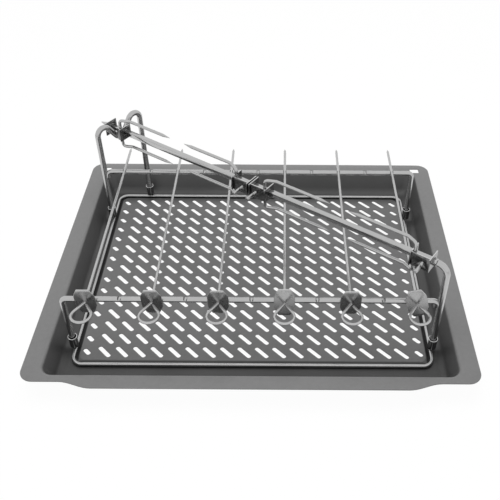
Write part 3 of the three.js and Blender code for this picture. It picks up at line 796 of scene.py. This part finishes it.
def supportPath():
    s = supportSize
    span = (s["right"] - s["left"]).length
    across = (s["right"] - s["left"]).normalized()
    reach = span / 2 - s["archRadius"]
    rise = s["archZ"] - s["spitZ"]
    slope = math.atan2(-rise, reach)
    radii = s["archRadius"] + s["valleyRadius"]
    leave = slope + math.acos(radii / math.hypot(reach, rise))  # where arch and valley part

    def arc(x, z, radius, fromAngle, toAngle, steps):
        angles = [fromAngle + (toAngle - fromAngle) * i / steps for i in range(steps + 1)]
        return [(x + radius * math.cos(a), z + radius * math.sin(a)) for a in angles]

    half = [(0.0, s["foot"])]
    half += arc(s["archRadius"], s["archZ"], s["archRadius"], math.pi, leave, s["archSteps"])
    half += arc(span / 2, s["spitZ"], s["valleyRadius"], math.pi + leave, 1.5 * math.pi,
                s["valleySteps"])
    whole = half + [(span - x, z) for x, z in reversed(half[:-1])]
    return rodPath("spitSupport", [
        (s["left"] + across * x + Vector((0, 0, z)), 0.0) for x, z in whole])


settle(rodPiece("spitSupport", supportPath(), supportSize["radius"], "barSteel",
                supportSize["sides"]),
       "rear_stand", "bar_steel", "spit_support_left")


def crookPath():  # the post, its bend, and a thinner pin that the spit turns on
    s = supportSize
    end, pin = s["crookEnd"], s["pinGirth"]
    mesh = rodPath("spitCrook", [
        (onSpit(0, s["foot"] - s["spitZ"], 0), 0.0),
        (onSpit(0, 0, 0), s["crookBend"]),
        (onSpit(0, 0, end - s["crookEdge"]), 0.0),
        (onSpit(0, 0, end), 0.0),
        (onSpit(0, 0, end + s["pinStep"]), 0.0),
        (onSpit(0, 0, end + s["pinLength"]), 0.0),
    ])
    girth = mesh.attributes["girth"].data  # rodPath added a spot near each end
    for i, value in enumerate((s["crookEdgeGirth"], pin, pin, pin * s["pinTip"]), 4):
        girth[i].value = value
    return mesh


settle(rodPiece("spitCrook", crookPath(), supportSize["radius"], "barSteel",
                supportSize["sides"], supportSize["crookSteps"]),
       "front_stand", "bar_steel", "spit_support_right")
print("supports: M and crook")


spitSize = {
    "side": 6.0, "edge": 0.7, "start": 11.65, "end": 466.435, "bore": 2.0, "boreDepth": 14.0,
    "chamfer": 0.3, "chamferEdge": 0.45, "boreTurn": 22.5, "boreStep": 15, "smoothing": 30,
    "point": [(14.0, 1.0), (1.2, 0.2), (0.0, 0.06)],  # before the end, share of the section
}


def squareRing(side, edge, along, scale=1.0):  # four points to each rounded edge
    flat = side / 2 - edge
    ring = []
    for quarter, (signX, signY) in enumerate(((1, 1), (-1, 1), (-1, -1), (1, -1))):
        for step in range(4):
            angle = math.radians(quarter * 90 + step * 30)
            front = (flat * signX + edge * math.cos(angle)) * scale
            up = (flat * signY + edge * math.sin(angle)) * scale
            ring.append(onSpit(front, up, along))
    return ring


def boreRing(radius, along):  # as many points, grouped in the same way
    turns = [quarter * 90 + spitSize["boreTurn"] + step * spitSize["boreStep"]
             for quarter in range(4) for step in range(4)]
    return [onSpit(radius * math.cos(a), radius * math.sin(a), along)
            for a in map(math.radians, turns)]


def spitMesh():
    s = spitSize
    start, side, bore, chamfer = s["start"], s["side"], s["bore"], s["chamfer"]
    rings = [
        boreRing(bore, start + s["boreDepth"]),
        boreRing(bore, start + chamfer),
        boreRing(bore + chamfer, start),
        squareRing(side - 2 * chamfer, s["chamferEdge"], start),
        squareRing(side, s["edge"], start + chamfer),
    ]
    rings += [squareRing(side, s["edge"], s["end"] - back, share) for back, share in s["point"]]
    return loftMesh("squareSpit", rings)


settle(joined("squareSpit", [spitMesh()], "spitSteel", spitSize["smoothing"]),
       "spit", "spit_steel", "spit")
print("spit: square bar")


# fork clips: two plates with a square hole each and a web between them, drilled for the screw
clipSize = {
    "sheet": 1.2, "height": 16.5, "back": 7.6, "front": 8.5, "lip": 2.0,
    "hole": 6.7, "stopHole": 6.6, "holeReach": 3.0, "length": 20.5, "shortLength": 6.2,
    "stopAt": 448.035, "screwHole": 1.9, "screwHoleSides": 24, "drillReach": 4.0,
    "bevel": 0.25, "bevelSegments": 2, "bevelAngle": 40, "smoothing": 35,
    "edgeFacing": 0.6, "highlightFacing": 0.5,  # a sheet's edge that faces up gets a painted highlight
}


def fixNormals(mesh):
    work = bmesh.new()
    work.from_mesh(mesh)
    bmesh.ops.remove_doubles(work, verts=work.verts, dist=mergeDistance)
    bmesh.ops.recalc_face_normals(work, faces=work.faces)
    work.to_mesh(mesh)
    work.free()
    return mesh


def cutSheet(name, mesh, cutters, through):  # through is the way the sheet's thickness runs
    c = clipSize
    blank = newObject(name, fixNormals(mesh))
    spent = [blank]
    for rings in cutters:
        tool = newObject("cutter", fixNormals(loftMesh("cutter", rings)))
        hole = blank.modifiers.new("hole", "BOOLEAN")
        hole.object = tool
        hole.solver = "EXACT"
        spent.append(tool)
    edges = blank.modifiers.new("edges", "BEVEL")
    edges.width = c["bevel"] * mm
    edges.segments = c["bevelSegments"]
    edges.limit_method = "ANGLE"
    edges.angle_limit = math.radians(c["bevelAngle"])
    result = bakedMesh(blank)
    for one in spent:
        bpy.data.objects.remove(one)
    # painted highlight: edges that face up are stored under the name cut
    bright = result.attributes.new("cut", "FLOAT", "FACE")
    for face in result.polygons:
        isEdge = abs(face.normal.dot(through)) < c["edgeFacing"]
        bright.data[face.index].value = float(isEdge and face.normal.z > c["highlightFacing"])
    return result


def boxRings(front, up, along):  # limits on the spit frame's three axes
    square = [(front[0], up[0]), (front[1], up[0]), (front[1], up[1]), (front[0], up[1])]
    return [[onSpit(f, u, a) for f, u in square] for a in sorted(along)]


def clipPlate(name, at, hole):
    c = clipSize
    half, sheet = c["height"] / 2, c["sheet"] / 2
    mesh = loftMesh(name, boxRings(
        (-c["back"], c["front"] + c["lip"]), (-half, half), (at - sheet, at + sheet)))
    window = (-hole / 2, hole / 2)
    through = (at - c["holeReach"], at + c["holeReach"])
    return cutSheet(name, mesh, [boxRings(window, window, through)], spitFrame["along"])


def clipWeb(name, start, end, screwAt):
    c = clipSize
    half = c["height"] / 2
    mesh = loftMesh(name, boxRings(
        (c["front"] - c["sheet"], c["front"]), (-half, half), (start, end)))
    drills = []
    if screwAt is not None:
        hole = [(c["screwHole"] * math.sin(a), screwAt + c["screwHole"] * math.cos(a))
                for a in circleAngles(c["screwHoleSides"])]
        fronts = (c["front"] - c["drillReach"], c["front"] + c["drillReach"])
        drills.append([[onSpit(front, up, along) for up, along in hole] for front in fronts])
    return cutSheet(name, mesh, drills, spitFrame["toFront"])


# thumb screws: threaded shank, plain round head with one groove near its end
screwSize = {
    "offset": 2.8, "radius": 1.5, "headRadius": 2.1, "sides": 20,
    "tip": 3.35, "tipLength": 0.5, "tipGirth": 0.6, "shoulder": 14.0, "end": 24.5,
    "pitch": 0.8, "thread": 0.16, "plain": 1.0,
    "collar": [(0.0, 0.84), (0.35, 1.0)],  # after the shoulder, share of the head's radius
    "collarStep": 0.02,
    "head": [(2.4, 1.0), (2.2, 0.86), (1.8, 0.86), (1.6, 1.0), (0.4, 1.0), (0.0, 0.8)],
}


def addClip(number, place, direction):  # the first clip is short and has no screw
    c = clipSize
    name = f"forkClip{number}"
    whole = number > 1
    far = place - direction * (c["length"] if whole else c["shortLength"])
    screwAt = (place + far) / 2 - direction * screwSize["offset"]
    meshes = [clipPlate(name, place, c["hole"])]
    meshes.append(clipWeb(name, place, far, screwAt if whole else None))
    if whole:
        meshes.append(clipPlate(name, far, c["hole"]))
    settle(joined(name, meshes, "shadedHubSteel", c["smoothing"]),
           f"fork_{number}", "hub_steel", f"fork_hub_{number}")
    if whole:
        addScrew(number, screwAt)


def addScrew(number, along):
    s = screwSize
    name = f"forkScrew{number}"
    shank = s["radius"] / s["headRadius"]
    shoulder, threadStart = s["shoulder"], s["tip"] + s["tipLength"]
    stations = [(s["tip"], shank * s["tipGirth"]), (threadStart, shank)]
    for i in range(1, int(2 * (shoulder - s["tip"] - s["plain"]) / s["pitch"])):
        girth = shank * (1 - s["thread"] * (i % 2))
        stations.append((threadStart + i * s["pitch"] / 2, girth))
    stations.append((shoulder - s["collarStep"], shank))
    stations += [(shoulder + after, girth) for after, girth in s["collar"]]
    stations += [(s["end"] - back, girth) for back, girth in s["head"]]
    path = pathMesh(name, [(onSpit(front, 0, along), 0.0, girth) for front, girth in stations])
    settle(rodPiece(name, path, s["headRadius"], "skewerSteel", s["sides"]),
           f"fork_{number}_screw", "hub_steel", f"fork_screw_{number}")


forkSize = {
    # place on the spit, the way the tines point, their reach
    "forks": [(424.235, -1, 72.52), (254.19, 1, 76.02), (210.19, -1, 76.02), (36.65, 1, 76.02)],
    "radius": 1.8, "sides": 14, "spread": 35.5, "return": 9.0,
    "bridgeFront": 5.15, "bridgeAlong": 2.75, "bend": 3.6, "bendSteps": 6, "point": 11.0,
}


def addTines(number, place, direction, reach):
    f = forkSize
    height = f["spread"] / 2

    def at(front, up, along):
        return onSpit(front, up, place + direction * along)

    path = rodPath(f"forkTines{number}", [
        (at(0, height, reach), 0.0),
        (at(0, height, f["return"]), f["bend"]),
        (at(f["bridgeFront"], height, -f["bridgeAlong"]), f["bend"]),
        (at(f["bridgeFront"], -height, -f["bridgeAlong"]), f["bend"]),
        (at(0, -height, f["return"]), f["bend"]),
        (at(0, -height, reach), 0.0),
    ], f["point"], f["point"])
    settle(rodPiece(f"forkTines{number}", path, f["radius"], "tineSteel", f["sides"],
                    f["bendSteps"]),
           f"fork_{number}", "wire_steel", f"fork_tines_{number}")


stopPlate = clipPlate("spitStop", clipSize["stopAt"], clipSize["stopHole"])
settle(joined("spitStop", [stopPlate], "shadedHubSteel", clipSize["smoothing"]),
       "spit", "hub_steel", "spit_stop_plate")
for number, (place, direction, reach) in enumerate(forkSize["forks"], 1):
    addClip(number, place, direction)
    addTines(number, place, direction, reach)
print("forks: four clips with tines, three screws")


skewerSize = {
    "xs": [-164.75, -98.85, -32.95, 32.95, 98.85, 164.75], "z": 77.6, "radius": 1.5, "sides": 14,
    "tip": 152.4, "point": 5.0, "start": -125.65, "neckBend": 2.0, "bendSteps": 6,
    "handleRadius": 9.6, "handleReach": 17.5, "handleSteps": 32, "opening": 3.6,
}
plateSize = {
    "back": -121.95, "ease": 1.15, "sheet": 1.0, "crown": 0.6, "width": 21.0, "height": 34.0,
    "cut": (4.4, 9.6), "cutFullness": 0.96, "edge": 0.25, "holeGap": 0.3,
    "rounds": 6, "spokes": 48, "smoothing": 40,
    "turns": [0, 0, 0, 0, 0, -16], "tilts": [-5, -5, -5, 3, -5, 3],
}


def skewerPath(number, x):
    s = skewerSize
    lean = math.asin(s["handleRadius"] / s["handleReach"])
    straight = s["handleReach"] * math.cos(lean)
    points = [(0.0, s["tip"]), (0.0, s["start"])]
    steps = s["handleSteps"]
    for i in range(steps + 1):
        angle = math.pi - lean + (math.pi + 2 * lean) * i / steps
        points.append((s["handleRadius"] * math.cos(angle),
                       s["start"] - s["handleReach"] + s["handleRadius"] * math.sin(angle)))
    share = 1 - s["opening"] / straight
    last = points[-1]
    points.append((last[0] * (1 - share), last[1] * (1 - share) + s["start"] * share))
    corners = [(Vector((x + px, py, s["z"])), s["neckBend"] if i == 1 else 0.0)
               for i, (px, py) in enumerate(points)]
    return rodPath(f"skewerRod{number}", corners, s["point"])


# a pressed sheet with cut corners, whose top and two sides lean away from a ridge
def plateMesh(number, x):
    p = plateSize
    w, h = p["width"] / 2, p["height"] / 2
    cw, ch = p["cut"]
    share = 1 - p["cutFullness"] / (w / cw + h / ch)  # the cut's middle stands a little proud
    quarter = [(w, 0.0), (w, h - ch), (w * share, h * share), (w - cw, h), (0.0, h)]
    rim = quarter + [(-px, pz) for px, pz in reversed(quarter[:-1])]
    rim += [(-px, -pz) for px, pz in rim[1:-1]]
    corners = [Vector(at) for at in rim]
    following = corners[1:] + corners[:1]
    lengths = [(b - a).length for a, b in zip(corners, following)]
    outline = []  # points at even steps round the rim
    for k in range(p["spokes"]):
        run = sum(lengths) * k / p["spokes"]
        i = 0
        while run > lengths[i]:
            run -= lengths[i]
            i += 1
        outline.append(corners[i].lerp(following[i], run / lengths[i]))

    def relief(at):  # how far the sheet stands to the front here
        return p["crown"] * (1 - max(abs(at.x) / w, at.y / h))

    hole = skewerSize["radius"] + p["holeGap"]
    turn = Matrix.Rotation(math.radians(p["turns"][number - 1]), 3, "Y")
    tilt = Matrix.Rotation(math.radians(-p["tilts"][number - 1]), 3, "X")
    seat = Vector((x, p["back"] - p["ease"], skewerSize["z"]))

    def ring(reach, back):  # reach 0 is the hole's edge, 1 the rim
        made = []
        for at in outline:
            place = (at.normalized() * hole).lerp(at, reach)
            made.append(seat + tilt @ turn @ Vector((place.x, -back - relief(place), place.y)))
        return made

    rounds, sheet, edge = p["rounds"], p["sheet"], p["edge"]
    reaches = [i / rounds for i in range(rounds)] + [1 - edge / w]
    rings = [ring(reach, 0.0) for reach in reaches]
    rings += [ring(1.0, edge), ring(1.0, sheet - edge)]
    rings += [ring(reach, sheet) for reach in reversed(reaches)]
    mesh = loftMesh(f"skewerPlate{number}", rings, closed=True)
    # the rim's edge rings get a painted highlight
    paintHighlightRings(mesh, (rounds + 1, rounds + 2), p["spokes"])
    return fixNormals(mesh)


for number, x in enumerate(skewerSize["xs"], 1):
    settle(rodPiece(f"skewerRod{number}", skewerPath(number, x), skewerSize["radius"],
                    "skewerSteel", skewerSize["sides"], skewerSize["bendSteps"]),
           f"skewer_{number}", "skewer_steel", f"skewer_rod_{number}")
    settle(joined(f"skewerPlate{number}", [plateMesh(number, x)], "plateSteel",
                  plateSize["smoothing"]),
           f"skewer_{number}", "plate_steel", f"skewer_plate_{number}")
print("skewers: six with plates")


# floor, light and camera
studio = {
    "floor": 2.4, "floorDrop": 0.0002, "floorTone": 240, "floorShare": 0.97, "floorGlance": 0.2,
    "skyTone": 255, "ambient": 0.24,
    "lampAt": (-0.08, 0.1, 1.7), "lampAim": (0, 0, 0.03), "lampSize": (1.6, 1.2), "lampPower": 36.5,
    "sensor": 36.0, "lens": 50.82, "at": (0.0310, -0.6178, 0.5768), "tilt": 48.93, "roll": 0.35,
    "shift": (-0.0656, 0.0003),
}


def seenShare(board, glance):  # rays from the camera, metal and glass, metal with its own weight
    path = board.tree.nodes.new("ShaderNodeLightPath")
    kinds = ("Is Camera Ray", "Is Glossy Ray", "Is Transmission Ray")
    straight, glossy, through = [Wire(board, path.outputs[kind]) for kind in kinds]
    return (straight + glossy * glance + through).clamp()


def addFloor():
    size = studio["floor"]
    corners = [(-size, -size, 0), (size, -size, 0), (size, size, 0), (-size, size, 0)]
    mesh = bpy.data.meshes.new("floor")
    mesh.from_pydata(corners, [], [(0, 1, 2, 3)])
    floor = newObject("floor", mesh)
    floor.location.z = -studio["floorDrop"]
    material = bpy.data.materials.new("paleFloor")
    material.use_nodes = True
    board = Board(material.node_tree)
    board.tree.nodes.clear()
    plain = board.node("ShaderNodeBsdfDiffuse", None, {"Color": grey(studio["floorTone"])})
    glow = board.node("ShaderNodeEmission", None, {"Strength": 1.0})
    mix = board.node("ShaderNodeMixShader", None, {
        0: seenShare(board, studio["floorGlance"]) * studio["floorShare"], 1: plain, 2: glow})
    board.node("ShaderNodeOutputMaterial", None, {0: mix})
    mesh.materials.append(material)
    floor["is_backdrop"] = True


def addWorld():
    world = bpy.data.worlds.new("studioWorld")
    bpy.context.scene.world = world
    world.use_nodes = True
    board = Board(world.node_tree)
    board.tree.nodes.clear()
    ambient = studio["ambient"]
    sky = board.node("ShaderNodeBackground", None, {
        "Color": grey(studio["skyTone"]),
        "Strength": seenShare(board, 1.0) * (1 - ambient) + ambient})
    board.node("ShaderNodeOutputWorld", None, {0: sky})


def addLamp():
    lamp = bpy.data.lights.new("topSoftbox", "AREA")
    lamp.shape = "RECTANGLE"
    lamp.size, lamp.size_y = studio["lampSize"]
    lamp.energy = studio["lampPower"]
    holder = newObject("topSoftbox", lamp)
    holder.visible_glossy = False
    holder.location = studio["lampAt"]
    aim = Vector(studio["lampAim"]) - Vector(studio["lampAt"])
    holder.rotation_euler = aim.to_track_quat("-Z", "Y").to_euler()


def addCamera():
    lens = bpy.data.cameras.new("photoCamera")
    lens.sensor_width = studio["sensor"]
    lens.lens = studio["lens"]
    lens.shift_x, lens.shift_y = studio["shift"]
    camera = newObject("photoCamera", lens)
    camera.location = studio["at"]
    tilt = Matrix.Rotation(math.radians(studio["tilt"]), 3, "X")
    roll = Matrix.Rotation(math.radians(studio["roll"]), 3, "Z")
    camera.rotation_euler = (tilt @ roll).to_euler()
    bpy.context.scene.camera = camera


addFloor()
addWorld()
addLamp()
addCamera()
bpy.context.scene.view_settings.view_transform = "Standard"
print("studio: floor, world, one lamp and the camera")

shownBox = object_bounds()
overTop = [round((b - a) / mm, 2) for a, b in zip(cadBox[1], shownBox[1])]
print("size:", overTop, "mm past the solids' top corner")
